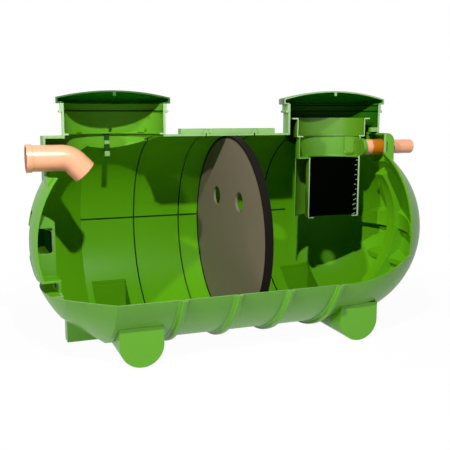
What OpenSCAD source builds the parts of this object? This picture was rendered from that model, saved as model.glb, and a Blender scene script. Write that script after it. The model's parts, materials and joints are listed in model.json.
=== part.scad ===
// Horizontal septic tank shown in section: a ribbed barrel with one conical
// and one domed end, two access turrets, a partition and a lift-out filter.
// X runs along the barrel from inlet to outlet, Y points to the uncut side.

/* [Barrel] */
// Outside radius of the barrel
barrel_r = 650; // [560:10:740]
// Thickness of the moulded wall
wall = 14; // [10:1:18]
// Gap between the underside of the barrel and the floor
floor_gap = 55; // [45:5:100]
// Distance between neighbouring ring ribs
ring_pitch = 342; // [330:2:350]
// Width of a ring rib along the barrel
ring_w = 40; // [30:2:50]
// Radius of the rounded crest of a ring
crest_r = 12; // [8:1:14]
// Radius of the cove at each side of a ring
cove_r = 14; // [8:1:18]
// Height of a ring rib above the barrel
ring_h = 26; // [16:2:30]
// Width of the slit inside each ring rib and of the seam line
slit_w = 9; // [6:1:12]
// Height of the moulding seam above the axis
seam_z = 31; // [10:1:60]

/* [Ends] */
// Where the conical inlet end leaves the barrel
cone_start = 900; // [890:5:930]
// Length of the cone along the axis
cone_l = 250; // [220:5:280]
// How much smaller the cone's small end is than the barrel
cone_drop = 180; // [150:5:210]
// Rise of the shallow dish that closes the cone
dish_rise = 171; // [150:1:200]
// Centre of the round outlet end
dome_x = 715; // [700:5:725]
// Width of the upright channel in the middle of each end
channel_w = 96; // [80:4:110]
// Depth of the channel in the round end
channel_d = 94; // [80:2:110]
// Depth of the pockets beside that channel
pocket_d = 66; // [50:2:75]
// Depth of the channel in the dished end, from the tip
inlet_channel_d = 156; // [140:2:170]

/* [Section] */
// How far below the axis the barrel is cut open
cut_depth = 282; // [240:2:320]
// Where the lower edge of the cut starts to rise
cut_rise_x = 545; // [520:5:570]
// Radius of that rise
cut_rise_r = 950; // [800:10:1100]
// Where the cut ends on the outlet side
cut_end = 1050; // [1000:5:1080]
// Width of the strip left in front at the inlet end
strip_w = 180; // [150:5:210]
// Distance from the top of the barrel down to that strip
strip_drop = 242; // [240:2:264]

/* [Turrets] */
// Distance of the inlet turret from the middle
inlet_x = 770; // [760:5:780]
// Outside radius of the inlet turret
inlet_neck_r = 325; // [300:5:345]
// Distance of the outlet turret from the middle
outlet_x = 780; // [770:5:790]
// Outside radius of the outlet turret
outlet_neck_r = 360; // [340:5:375]
// Height of the collar rim above the top of the barrel
neck_rise = 193; // [170:1:230]
// Height of the collar
collar_h = 52; // [40:1:60]
// Radius of the round bead under the collar
bead_r = 9; // [6:1:12]
// Width of the ledge inside the inlet turret
ledge_w = 24; // [16:1:30]
// How far the lid reaches past its turret
lid_reach = 32; // [26:1:36]
// Height of the lid skirt
lid_skirt = 37; // [30:1:45]
// Rise of the inlet lid's crown above its skirt
lid_rise = 42; // [30:1:60]
// Rise of the outlet lid's crown above its skirt
outlet_lid_rise = 54; // [40:1:70]

/* [Pipes] */
// Outside diameter of the inlet pipe
inlet_od = 160; // [125:5:160]
// Axis of the inlet pipe below the top of the barrel
inlet_pipe_drop = 136; // [126:2:146]
// How far the inlet pipe stands out of its block
inlet_reach = 105; // [80:5:150]
// Depth of the inlet socket
socket_l = 28; // [20:1:40]
// Bend radius of the inlet elbow
elbow_r = 120; // [110:2:130]
// Straight end of the inlet elbow
elbow_l = 78; // [60:2:90]
// Outside diameter of the outlet pipe
outlet_od = 100; // [90:1:105]
// Axis of the outlet pipe below the top of the barrel
outlet_pipe_drop = 105; // [96:1:112]
// How far the outlet pipe stands out of its block
outlet_reach = 214; // [170:2:260]
// Distance from the inlet turret to the outer face of its block
inlet_block_l = 116; // [100:2:130]
// Width of the inlet block
inlet_block_w = 300; // [260:5:340]
// Distance from the outlet turret to the outer face of its block
outlet_block_l = 48; // [40:1:60]
// Width of the outlet block
outlet_block_w = 240; // [200:5:280]

/* [Partition] */
// Thickness of the partition rim
rim_t = 50; // [40:2:60]
// Thickness of the partition panel
panel_t = 16; // [12:1:24]
// Width of the rim round the panel
rim_w = 34; // [24:1:44]
// Diameter of the two passages in the partition
passage_d = 128; // [100:2:150]
// Height of the passages above the axis
passage_z = 220; // [180:5:260]
// Distance of each passage from the centre line
passage_y = 204; // [160:4:240]

/* [Filter] */
// Radius of the filter flange
flange_r = 305; // [290:5:315]
// Radius of the filter cup
cup_r = 266; // [255:1:275]
// Radius of the filter body
body_r = 241; // [230:1:248]
// Radius of the filter basket
basket_r = 198; // [185:1:208]
// Distance of the filter's outlet face from the middle of its turret
filter_face = 208; // [200:1:215]
// Flange of the filter below the rim of the turret
flange_drop = 93; // [80:1:110]
// Height of the filter cup
cup_h = 130; // [110:5:150]
// Height of the filter body under the cup
body_h = 148; // [145:1:160]
// Length of the basket under the filter body
basket_h = 419; // [380:1:440]

/* [Supports] */
// Distance of each foot from the middle
foot_x = 735; // [725:5:745]
// Width of a foot
foot_w = 270; // [240:5:290]
// Distance from the middle to the open-side face of a foot
foot_front = 460; // [440:5:480]
// Distance from the middle to the closed-side face of a foot
foot_rear = 514; // [490:5:530]
// Thickness of the end keels
keel_t = 96; // [80:4:110]
// Length of a keel beyond its foot
keel_l = 242; // [220:2:260]
// Gap between a keel and the floor
keel_gap = 67; // [50:1:90]

/* [End forms] */
// Slope of the tops of the outlet pockets
seat_slope = 0.72; // [0.6:0.02:0.8]
// Half width of the upper outlet pockets
upper_half = 350; // [300:5:380]
// Depth of the upper outlet pocket floor below the axis
upper_foot = 50; // [30:5:70]
// Height of the upper outlet pocket at the tip
upper_h = 167; // [140:3:190]
// Half width of the lower outlet pockets
lower_half = 250; // [220:5:280]
// Depth of the lower outlet pocket floor below the axis
lower_foot = 300; // [280:5:320]
// Height of the lower outlet pocket at the tip
lower_h = 131; // [110:3:150]
// Distance from the barrel bottom to the foot of the outlet channel
channel_foot = 200; // [170:5:230]
// Gap between the outlet channel and the wall of the pipe block
channel_gap = 46; // [30:1:60]
// Depth of the column foot at the inlet end below the axis
column_foot = 300; // [280:5:320]
// Height of the column top above the axis at the tip
column_top = 235; // [210:5:260]
// Slope of the column top
column_slope = 0.68; // [0.5:0.02:0.8]
// Half width of the inlet pocket
inlet_half = 400; // [360:5:420]
// Depth of the inlet pocket floor below the axis
inlet_foot = 110; // [90:5:130]
// Height of the inlet pocket at the tip
inlet_h = 230; // [200:5:260]
// Half width of the tray at the foot of the column
tray_half = 260; // [230:5:290]
// Height of the tray
tray_h = 95; // [80:3:110]
// Width of the lifting eye
eye_w = 96; // [80:2:110]
// Height of the lifting eye
eye_h = 158; // [140:2:180]
// Depth of the lifting eye's foot below the axis
eye_foot = 64; // [50:2:80]
// Corner radius of the lifting eye
eye_r = 24; // [15:1:35]

/* [Hidden] */
$fn = 192;
slack = 0.3;
skin = 6;
far = 3000;
inner_r = barrel_r - wall;
axis_z = barrel_r + floor_gap;
ring_1 = ring_pitch / 2;
ring_2 = ring_pitch * 1.5;
half_ring = ring_w / 2;
cone_end = cone_start + cone_l;
dish_r = barrel_r - cone_drop;
dish_tip = cone_end + dish_rise;
dish_R = (dish_r * dish_r + dish_rise * dish_rise) / (2 * dish_rise);
dish_c = dish_tip - dish_R;
dish_in = sqrt(pow(dish_R - wall, 2) - pow(cone_end - dish_c, 2));
strip_z = barrel_r - strip_drop;
neck_top = barrel_r + neck_rise;
neck_foot = 350;
step_edge = 5;
block_top = barrel_r - step_edge;
block_in_x = inlet_x + inlet_neck_r + inlet_block_l;
block_out_x = outlet_x + outlet_neck_r + outlet_block_l;
block_corner = 60;
block_open = 40;
inlet_pipe_z = barrel_r - inlet_pipe_drop;
inlet_end = block_in_x + inlet_reach;
elbow_run = 210;
elbow_x = inlet_end - elbow_run;
pipe_wall = 5;
outlet_pipe_z = barrel_r - outlet_pipe_drop;
outlet_end = block_out_x + outlet_reach;
flange_top = neck_top - flange_drop;
cup_foot = flange_top - cup_h;
body_foot = cup_foot - body_h;
basket_z = body_foot - basket_h;
foot_base = -axis_z;
foot_ledge = 4;
dome_tip = dome_x + barrel_r;
cap_drop = 145;
cap_z = barrel_r - cap_drop;
block_cut = outlet_x + outlet_neck_r - block_open;
pipe_step = 5;
socket_gap = 0.2;
spigot_l = 24;
spigot_t = 6;
body_x = outlet_x + filter_face - body_r;
cup_lip = 34;
cup_x = outlet_x + filter_face + cup_lip - cup_r;
basket_x = outlet_x + filter_face - skin - slack - basket_r;
plate_t = 8;
rest_w = 4;
lip_r = 14;
lip_w = 44;
cup_step = 46;
seal_t = 14;
seal_proud = 3;
cove_t = 1.5;
seam_back = 6;
seam_d = 6;
spine_gap = 101;
spine_w = 60;
spine_h = 8;
spine_root = 20;
collar_lip = 8;
ledge_t = 10;
lid_t = 10;
lid_boss_r = 10;
lid_boss_h = 24;
strap_w = 34;
strap_off = 23;
strap_t = 12;
strap_l = 162;
strap_gap = 0.8;
tab_l = 30;
tab_w = 54;
tab_h = 22;
tab_turn_left = 132;
tab_turn_right = 42;
lug_l = 56;
lug_w = 28;
lug_h = 30;
form_reach = 200;
form_lap = 1;
seat_in = channel_w / 2 - 2 * wall - form_lap;
block_meet = sqrt(barrel_r * barrel_r - pow(block_out_x - dome_x, 2));
channel_z = block_meet - channel_gap;
channel_top = channel_z + seat_slope * (barrel_r - sqrt(barrel_r * barrel_r - channel_z * channel_z));
outlet_channel = [-channel_w / 2, channel_w / 2, channel_foot - barrel_r, channel_top, seat_slope, cut_end];
upper_face = dome_x + sqrt(pow(barrel_r, 2) - pow(upper_half, 2)) - pocket_d - form_lap;
lower_face = dome_x + sqrt(pow(barrel_r, 2) - pow(lower_half, 2) - pow(lower_foot, 2)) - form_lap;
outlet_seats = [
    [seat_in, upper_half, -upper_foot, upper_h - upper_foot, seat_slope, upper_face],
    [-upper_half, -seat_in, -upper_foot, upper_h - upper_foot, seat_slope, upper_face],
    [seat_in, lower_half, -lower_foot, lower_h - lower_foot, seat_slope, lower_face],
    [-lower_half, -seat_in, -lower_foot, lower_h - lower_foot, seat_slope, lower_face]];
inlet_face = dish_tip - inlet_channel_d;
tray_proud = 10;
seat_fall = 0.3;
inlet_seats = [
    [-channel_w / 2, channel_w / 2, -column_foot, column_top, column_slope, inlet_face],
    [seat_in, inlet_half, -inlet_foot, inlet_h - inlet_foot, seat_fall, inlet_face],
    [seat_in, tray_half, -column_foot, tray_h - column_foot, 0, inlet_face - tray_proud],
    [-tray_half, -seat_in, -column_foot, tray_h - column_foot, 0, inlet_face - tray_proud]];
shift_x = (outlet_end - max(dish_tip, inlet_end)) / 2;
shift_y = (barrel_r + ring_h - inner_r + slack) / 2;

// ---------------------------------------------------------------- helpers

// Moves a part from the barrel axis to its place over the middle of the floor.
module lift() {
    translate([-shift_x, -shift_y, axis_z]) children();
}

// Turns a profile drawn as (radius, length) round the barrel axis.
module turn_x() {
    rotate([0, 90, 0]) rotate_extrude() children();
}

// A wall profile between two radii and two stations.
module tube_profile(r0, r1, x0, x1) {
    translate([r0, x0]) square([r1 - r0, x1 - x0]);
}

// An upright round bar.
module post(x, r, z0, z1) {
    translate([x, 0, z0]) cylinder(r = r, h = z1 - z0);
}

// A bar lying along the barrel axis direction.
module rod(r, x0, x1, z) {
    translate([x0, 0, z]) rotate([0, 90, 0]) cylinder(r = r, h = x1 - x0);
}

// All that lies in front of the middle plane.
module front_half() {
    translate([-far, -far, -far]) cube([2 * far, far, 2 * far]);
}

// Profile of the solid tank body, grown outwards by g.
module body_profile(g) {
    tube_profile(0, barrel_r + g, -cone_start, dome_x);
    polygon([[0, -cone_start], [barrel_r + g, -cone_start], [dish_r + g, -cone_end], [0, -cone_end]]);
    intersection() {
        translate([0, -dish_c]) circle(r = dish_R + g);
        translate([0, -far]) square([dish_r + g, far - cone_end]);
    }
    intersection() {
        translate([0, dome_x]) circle(r = barrel_r + g);
        translate([0, dome_x]) square([far, far]);
    }
}

// The solid tank body without its rings, used to trim what sits on it.
module body_solid(g) {
    turn_x() body_profile(g);
}

// Solid rings, used to trim what sits on them.
module ring_solids(g) {
    for (x = [-ring_2, -ring_1, ring_1, ring_2])
        rod(barrel_r + ring_h + g, x - half_ring - g, x + half_ring + g, 0);
}

// The side view of what is cut out of the barrel.
module cut_side() {
    translate([-far, -cut_depth]) square([far + cut_rise_x, far]);
    intersection() {
        translate([cut_rise_x, cut_rise_r - cut_depth]) circle(r = cut_rise_r, $fn = 360);
        translate([cut_rise_x, -cut_depth]) square([cut_end - cut_rise_x, far]);
    }
}

// Everything the section removes on the open side.
module cutaway() {
    rotate([90, 0, 0]) linear_extrude(far) intersection() {
        cut_side();
        translate([-cone_start, -far]) square([cone_start + cut_end, 2 * far]);
    }
    translate([0, -strip_w, 0]) rotate([90, 0, 0]) linear_extrude(far) cut_side();
    translate([-far, -far, strip_z]) cube([far + cut_end, far, far]);
    translate([-far, -far, cap_z]) cube([far + block_cut, far, far]);
    translate([-far, -far, barrel_r]) cube([2 * far, far, far]);
}

// ---------------------------------------------------------------- openings

// The bores of both turrets.
module neck_bores() {
    post(-inlet_x, inlet_neck_r - wall, 0, far);
    post(outlet_x, outlet_neck_r - wall, 0, far);
}

// The outside of a pipe block; m is the distance its faces are moved inwards.
module inlet_block_box(m) {
    half = inlet_block_w / 2 - m;
    translate([-block_in_x + m, -half, 0]) cube([block_in_x - inlet_x - m, 2 * half, block_top - m]);
}

module outlet_block_box(m) {
    half = outlet_block_w / 2 - m;
    corner = block_corner - m;
    end = block_out_x - m;
    top = block_top - m;
    translate([0, half, 0]) rotate([90, 0, 0]) linear_extrude(2 * half) {
        translate([outlet_x, 0]) square([end - outlet_x, top - corner]);
        translate([outlet_x, 0]) square([end - corner - outlet_x, top]);
        translate([end - corner, top - corner]) circle(r = corner);
    }
}

// The outside of a foot; m is the distance its faces are moved inwards.
module foot_box(x, m) {
    r = foot_w / 2;
    top = -sqrt(barrel_r * barrel_r - foot_front * foot_front) + foot_ledge;
    translate([x, foot_rear - m, 0]) rotate([90, 0, 0]) linear_extrude(foot_front + foot_rear - 2 * m) {
        translate([0, foot_base + r]) circle(r = r - m);
        translate([-(r - m), foot_base + r]) square([2 * (r - m), top - m - foot_base - r]);
    }
    translate([x - r + m, 0, top - m - foot_ledge])
        cube([foot_w - 2 * m, foot_rear - m, barrel_r]);
}

// A form moulded into an end: near and far side, lower edge, upper edge at the
// tip of the end, slope of its top, and distance of its face from the middle.
module form(end, tip, s, m) {
    drop = m * sqrt(1 + s[4] * s[4]);
    out = tip + form_reach;
    face = s[5] + m;
    mirror([end < 0 ? 1 : 0, 0, 0]) translate([0, s[1] - m, 0]) rotate([90, 0, 0])
        linear_extrude(s[1] - s[0] - 2 * m) polygon([
            [face, s[2] + m], [out, s[2] + m],
            [out, s[3] + s[4] * (out - tip) - drop], [face, s[3] + s[4] * (face - tip) - drop]]);
}

// The channel and the pockets of the round outlet end.
module outlet_forms(m) {
    difference() {
        form(1, dome_tip, outlet_channel, m);
        body_solid(m - channel_d);
    }
    difference() {
        for (s = outlet_seats) form(1, dome_tip, s, m);
        body_solid(m - pocket_d);
    }
}

// The channel and the pockets of the dished inlet end.
module inlet_forms(m) {
    for (s = inlet_seats) form(-1, dish_tip, s, m);
}

module all_openings() {
    neck_bores();
    inlet_block_box(wall);
    outlet_block_box(wall);
    foot_box(-foot_x, wall);
    foot_box(foot_x, wall);
}

// ---------------------------------------------------------------- barrel

module bay(x0, x1, upper) {
    color("olivedrab") lift() difference() {
        turn_x() tube_profile(inner_r, barrel_r, x0, x1);
        cutaway();
        all_openings();
        translate([-far, inner_r - seam_back, seam_z - slit_w / 2]) cube([2 * far, seam_back + seam_d, slit_w]);
        translate([-far, 0, upper ? seam_z - far : seam_z]) cube([2 * far, far, far]);
        if (upper) front_half();
    }
}

// Half profile of a ring with its rounded crest and its cove.
module ring_profile() {
    crest = barrel_r + ring_h;
    foot = barrel_r + slack + cove_t;
    tube_profile(inner_r, crest - crest_r, slit_w / 2, half_ring);
    tube_profile(crest - wall, crest, 0, half_ring - crest_r);
    tube_profile(inner_r, crest, slit_w / 2, half_ring - crest_r);
    translate([crest - crest_r, half_ring - crest_r]) circle(r = crest_r);
    difference() {
        tube_profile(barrel_r + slack, foot + cove_r, half_ring - 1, half_ring + cove_r);
        translate([foot + cove_r, half_ring + cove_r]) circle(r = cove_r);
    }
}

module ring(x) {
    color("olivedrab") lift() difference() {
        turn_x() translate([0, x]) for (side = [0, 1]) mirror([0, side]) ring_profile();
        cutaway();
        all_openings();
        post(-inlet_x, inlet_neck_r + slack, 0, far);
        post(outlet_x, outlet_neck_r + slack, 0, far);
    }
}

module bay_1_upper() { bay(-cone_start, -ring_2 - half_ring, true); }
module bay_1_lower() { bay(-cone_start, -ring_2 - half_ring, false); }
module bay_2_upper() { bay(-ring_2 + half_ring, -ring_1 - half_ring, true); }
module bay_2_lower() { bay(-ring_2 + half_ring, -ring_1 - half_ring, false); }
module bay_3_upper() { bay(-ring_1 + half_ring, ring_1 - half_ring, true); }
module bay_3_lower() { bay(-ring_1 + half_ring, ring_1 - half_ring, false); }
module bay_4_upper() { bay(ring_1 + half_ring, ring_2 - half_ring, true); }
module bay_4_lower() { bay(ring_1 + half_ring, ring_2 - half_ring, false); }
module bay_5_upper() { bay(ring_2 + half_ring, dome_x, true); }
module bay_5_lower() { bay(ring_2 + half_ring, dome_x, false); }
module ring_1() { ring(-ring_2); }
module ring_2() { ring(-ring_1); }
module ring_3() { ring(ring_1); }
module ring_4() { ring(ring_2); }

// Raised band along the top of the barrel between the turrets.
module roof_spine() {
    x0 = inlet_neck_r - inlet_x + spine_gap;
    x1 = outlet_x - outlet_neck_r - spine_gap;
    color("olivedrab") lift() difference() {
        translate([x0, 0, barrel_r - spine_root]) cube([x1 - x0, spine_w, ring_h + spine_h + spine_root]);
        body_solid(slack);
        ring_solids(slack);
    }
}

// ---------------------------------------------------------------- ends

module inlet_cone() {
    color("olivedrab") lift() difference() {
        turn_x() polygon([[barrel_r, -cone_start], [dish_r, -cone_end],
                          [dish_in, -cone_end], [inner_r, -cone_start]]);
        cutaway();
        all_openings();
    }
}

module inlet_dish() {
    color("olivedrab") lift() difference() {
        turn_x() intersection() {
            translate([0, -dish_c]) difference() {
                circle(r = dish_R);
                circle(r = dish_R - wall);
            }
            translate([0, -far]) square([dish_r, far - cone_end]);
        }
        cutaway();
        all_openings();
        inlet_forms(0);
    }
}

module outlet_dome() {
    color("olivedrab") lift() difference() {
        turn_x() intersection() {
            translate([0, dome_x]) difference() {
                circle(r = barrel_r);
                circle(r = inner_r);
            }
            translate([0, dome_x]) square([far, far]);
        }
        cutaway();
        all_openings();
        outlet_forms(0);
    }
}

// Walls of the forms moulded into the dished end, with the lifting eye.
module inlet_pockets() {
    eye_x0 = dish_tip - inlet_channel_d + wall;
    color("olivedrab") lift() difference() {
        intersection() {
            inlet_forms(0);
            body_solid(0);
        }
        inlet_forms(wall);
        cutaway();
        rotate([90, 0, 0]) linear_extrude(far) {
            translate([-eye_x0 - eye_w, eye_r - eye_foot]) square([eye_w, eye_h - eye_r]);
            translate([-eye_x0 - eye_w + eye_r, -eye_foot]) square([eye_w - 2 * eye_r, 2 * eye_r]);
            for (x = [eye_r, eye_w - eye_r]) translate([-eye_x0 - x, eye_r - eye_foot]) circle(r = eye_r);
        }
    }
}

module outlet_pockets() {
    color("olivedrab") lift() difference() {
        intersection() {
            outlet_forms(0);
            body_solid(0);
        }
        outlet_forms(wall);
        cutaway();
    }
}

// Flat-faced blocks the pipes pass through.
module inlet_block() {
    color("olivedrab") lift() difference() {
        inlet_block_box(0);
        inlet_block_box(wall);
        body_solid(slack);
        neck_bores();
        rod(inlet_od / 2 + slack, -far, 0, inlet_pipe_z);
        cutaway();
    }
}

module outlet_block() {
    color("olivedrab") lift() difference() {
        outlet_block_box(0);
        outlet_block_box(wall);
        body_solid(slack);
        neck_bores();
        rod(outlet_od / 2 + pipe_step + slack, 0, far, outlet_pipe_z);
        cutaway();
    }
}

// ---------------------------------------------------------------- supports

module foot(x) {
    color("olivedrab") lift() difference() {
        foot_box(x, 0);
        foot_box(x, wall);
        body_solid(slack);
    }
}

module foot_inlet() { foot(-foot_x); }
module foot_outlet() { foot(foot_x); }

module keel(end) {
    color("olivedrab") lift() difference() {
        mirror([end < 0 ? 1 : 0, 0, 0]) translate([foot_x + foot_w / 2, -keel_t / 2, keel_gap - axis_z])
            cube([keel_l, keel_t, axis_z - keel_gap - dish_r]);
        body_solid(slack);
    }
}

module keel_inlet() { keel(-1); }
module keel_outlet() { keel(1); }

// ---------------------------------------------------------------- turrets

module neck(x, r, ledge) {
    color("olivedrab") lift() difference() {
        translate([x, 0, 0]) rotate_extrude() {
            tube_profile(r - wall, r, barrel_r - neck_foot, neck_top - collar_h);
            if (ledge > 0) tube_profile(r - wall - ledge, r, barrel_r, barrel_r + ledge_t);
        }
        body_solid(slack);
        if (x < 0) inlet_block_box(0);
        if (x > 0) outlet_block_box(0);
        front_half();
    }
}

module inlet_neck() { neck(-inlet_x, inlet_neck_r, ledge_w); }
module outlet_neck() { neck(outlet_x, outlet_neck_r, 0); }

// Stepped rim with its bead, standing on the neck.
module collar(x, r) {
    color("yellowgreen") lift() difference() {
        translate([x, 0, 0]) rotate_extrude() {
            tube_profile(r - wall, r + collar_lip, neck_top - collar_h, neck_top);
            translate([r + collar_lip + bead_r / 4, neck_top - collar_h + bead_r / 3]) circle(r = bead_r);
        }
        front_half();
    }
}

module inlet_collar() { collar(-inlet_x, inlet_neck_r); }
module outlet_collar() { collar(outlet_x, outlet_neck_r); }

module lid(x, r, rise) {
    crown = (r * r + rise * rise) / (2 * rise);
    top = neck_top + lid_skirt + rise;
    color("darkgreen") lift() difference() {
        translate([x, 0, 0]) rotate_extrude() {
            difference() {
                intersection() {
                    translate([0, top - crown]) circle(r = crown, $fn = 360);
                    translate([0, neck_top + lid_skirt - wall]) square([r, far]);
                }
                translate([0, top - crown]) circle(r = crown - lid_t, $fn = 360);
            }
            tube_profile(0, lid_boss_r, top - lid_t - lid_boss_h, top - lid_t / 2);
            tube_profile(r - lid_t, r, neck_top, neck_top + lid_skirt);
            tube_profile(r - lid_reach - collar_lip, r, neck_top, neck_top + collar_lip);
        }
        front_half();
    }
}

module inlet_lid() { lid(-inlet_x, inlet_neck_r + lid_reach, lid_rise); }
module outlet_lid() { lid(outlet_x, outlet_neck_r + lid_reach, outlet_lid_rise); }

// ---------------------------------------------------------------- pipes

module inlet_pipe() {
    color("peachpuff") lift() difference() {
        union() {
            rod(inlet_od / 2, -inlet_end, -elbow_x, inlet_pipe_z);
            rod(inlet_od / 2 + skin, -inlet_end, -inlet_end + socket_l + pipe_wall, inlet_pipe_z);
        }
        rod(inlet_od / 2 - pipe_wall, -far, 0, inlet_pipe_z);
        rod(inlet_od / 2 + socket_gap, -far, -inlet_end + socket_l, inlet_pipe_z);
    }
}

// The bend of the elbow and its straight end, as a bar of radius r.
module elbow_bar(r, l) {
    rotate([0, 0, 45]) {
        rotate_extrude(angle = 45) translate([elbow_r, 0]) circle(r = r);
        translate([elbow_r, 0, 0]) rotate([90, 0, 0]) cylinder(r = r, h = l);
    }
}

module inlet_elbow() {
    color("peachpuff") lift() translate([-elbow_x, 0, inlet_pipe_z - elbow_r]) rotate([90, 0, 0])
        difference() {
            elbow_bar(inlet_od / 2, elbow_l);
            elbow_bar(inlet_od / 2 - pipe_wall, elbow_l + 1);
        }
}

module outlet_pipe() {
    face = outlet_x + filter_face;
    color("peachpuff") lift() difference() {
        union() {
            rod(outlet_od / 2, face - skin - 2, outlet_end, outlet_pipe_z);
            rod(outlet_od / 2 + pipe_step, face - skin - 2, block_out_x + 2, outlet_pipe_z);
        }
        rod(outlet_od / 2 - pipe_wall, 0, far, outlet_pipe_z);
    }
}

// ---------------------------------------------------------------- inside

module partition() {
    r = inner_r - seal_t;
    x0 = -rim_t / 2 + seal_proud;
    color("dimgray") lift() difference() {
        turn_x() {
            tube_profile(0, r, x0, x0 + panel_t);
            tube_profile(r - rim_w, r, x0, -x0);
        }
        for (s = [-1, 1]) translate([0, s * passage_y, passage_z]) rotate([0, 90, 0])
            cylinder(d = passage_d, h = 2 * rim_t, center = true);
    }
}

module partition_seal() {
    color("black") lift() turn_x()
        tube_profile(inner_r - seal_t + slack, inner_r - slack, -rim_t / 2, rim_t / 2);
}

module filter_cup() {
    color("olivedrab") lift() difference() {
        translate([cup_x, 0, 0]) rotate_extrude() {
            tube_profile(cup_r - skin, flange_r, flange_top - plate_t, flange_top);
            tube_profile(cup_r - skin, cup_r, cup_foot, flange_top);
            tube_profile(cup_r - cup_step, cup_r, cup_foot, cup_foot + plate_t);
        }
        front_half();
    }
}

module filter_body() {
    outer = outlet_od / 2 + pipe_step + slack;
    face = outlet_x + filter_face;
    color("olivedrab") lift() difference() {
        union() {
            difference() {
                translate([body_x, 0, 0]) rotate_extrude() {
                    tube_profile(body_r - skin, body_r, basket_z, cup_foot);
                    tube_profile(0, body_r, body_foot, body_foot + plate_t);
                }
                post(basket_x, basket_r - skin - rest_w, basket_z, cup_foot);
                front_half();
            }
            rod(outer + spigot_t, face - 2, face + spigot_l, outlet_pipe_z);
        }
        rod(outer, outlet_x, far, outlet_pipe_z);
    }
}

module filter_basket() {
    color("yellowgreen") lift() difference() {
        translate([basket_x, 0, 0]) rotate_extrude() {
            tube_profile(basket_r - skin, basket_r, basket_z + lip_r, body_foot);
            tube_profile(basket_r - lip_w, basket_r - lip_r, basket_z, basket_z + skin);
            intersection() {
                translate([basket_r - lip_r, basket_z + lip_r]) difference() {
                    circle(r = lip_r);
                    circle(r = lip_r - skin);
                }
                translate([basket_r - lip_r, basket_z]) square(lip_r);
            }
        }
        front_half();
    }
}

module filter_media() {
    color("black") lift() difference() {
        post(basket_x, basket_r - skin - slack, basket_z + lip_r, body_foot);
        front_half();
    }
}

module neck_strap() {
    back = inlet_neck_r - wall - strap_gap;
    color("olivedrab") lift() translate([strap_off - inlet_x - strap_w, back - strap_t, barrel_r - strap_l])
        cube([strap_w, strap_t, strap_l]);
}

module neck_tab(turn) {
    reach = inlet_neck_r - wall - slack;
    color("olivedrab") lift() intersection() {
        translate([-inlet_x, 0, barrel_r + ledge_t]) rotate([0, 0, turn])
            translate([reach - tab_l, -tab_w / 2, 0]) cube([2 * tab_l, tab_w, tab_h]);
        post(-inlet_x, reach, 0, far);
    }
}

module neck_tab_left() { neck_tab(tab_turn_left); }
module neck_tab_right() { neck_tab(tab_turn_right); }

module outlet_lug() {
    reach = outlet_neck_r - wall - slack;
    color("olivedrab") lift() intersection() {
        translate([outlet_x + reach - lug_l, 0, barrel_r + 2]) cube([2 * lug_l, lug_w, lug_h]);
        post(outlet_x, reach, 0, far);
    }
}

// ---------------------------------------------------------------- output

bay_1_upper();
bay_1_lower();
bay_2_upper();
bay_2_lower();
bay_3_upper();
bay_3_lower();
bay_4_upper();
bay_4_lower();
bay_5_upper();
bay_5_lower();
ring_1();
ring_2();
ring_3();
ring_4();
roof_spine();
inlet_cone();
inlet_dish();
outlet_dome();
inlet_pockets();
outlet_pockets();
inlet_block();
outlet_block();
foot_inlet();
foot_outlet();
keel_inlet();
keel_outlet();
inlet_neck();
outlet_neck();
inlet_collar();
outlet_collar();
inlet_lid();
outlet_lid();
inlet_pipe();
inlet_elbow();
outlet_pipe();
partition();
partition_seal();
filter_cup();
filter_body();
filter_basket();
filter_media();
neck_strap();
neck_tab_left();
neck_tab_right();
outlet_lug();
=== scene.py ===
"""Finishes, fine parts and studio for a ribbed septic tank shown in section.

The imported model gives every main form. This script gives each node its finish,
adds the seams, seals, perforations and trim that are too fine for the solids,
and sets the floor, lamps and camera. Lengths are in metres.
"""
import bmesh
import bpy
import json
import logging
import math
from dataclasses import dataclass, replace
from enum import Enum
from functools import cache
from mathutils import Matrix, Vector


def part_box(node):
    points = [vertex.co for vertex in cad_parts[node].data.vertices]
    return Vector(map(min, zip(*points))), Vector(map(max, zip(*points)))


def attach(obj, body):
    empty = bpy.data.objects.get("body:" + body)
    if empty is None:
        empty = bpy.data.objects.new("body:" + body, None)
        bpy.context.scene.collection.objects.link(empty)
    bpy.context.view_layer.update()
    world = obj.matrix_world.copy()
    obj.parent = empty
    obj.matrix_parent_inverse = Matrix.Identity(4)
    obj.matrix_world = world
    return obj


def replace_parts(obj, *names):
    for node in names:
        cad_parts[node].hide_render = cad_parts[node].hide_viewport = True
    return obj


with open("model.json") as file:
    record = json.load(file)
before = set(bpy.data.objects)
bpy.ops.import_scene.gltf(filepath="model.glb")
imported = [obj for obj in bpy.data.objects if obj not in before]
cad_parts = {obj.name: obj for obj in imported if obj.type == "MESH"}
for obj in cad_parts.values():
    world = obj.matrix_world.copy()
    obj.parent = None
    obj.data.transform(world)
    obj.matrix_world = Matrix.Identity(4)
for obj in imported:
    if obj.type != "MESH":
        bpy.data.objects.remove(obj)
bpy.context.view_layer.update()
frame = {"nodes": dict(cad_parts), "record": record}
log = logging.getLogger("septic_tank")

Colour = tuple[float, float, float]
Point = tuple[float, float, float]
Face = tuple[int, ...]
Pair = tuple[float, float]
Feed = dict[int | str, object]
Socket = bpy.types.NodeSocket
Material = bpy.types.Material
Tree = bpy.types.NodeTree
Piece = bpy.types.Object


class Slot(Enum):
    """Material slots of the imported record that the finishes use."""

    SHELL = "shell"
    LID = "lid"
    PIPE = "pipe"
    PARTITION = "partition"
    SEAL = "seal"
    FILTER = "filter"
    MEDIA = "media"


# -------- the section

FRONT_WALL = 0.3


@dataclass(frozen=True)
class Section:
    """Planes of the section.

    Attributes:
        middle: y of the upright plane that halves the turrets.
        strip: y of the upright plane before it, at the inlet end.
        edge: z of the level edge of the lower front wall.
        centre: middle of the partition and so of the barrel.
    """

    middle: float
    strip: float
    edge: float
    centre: Point


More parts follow.
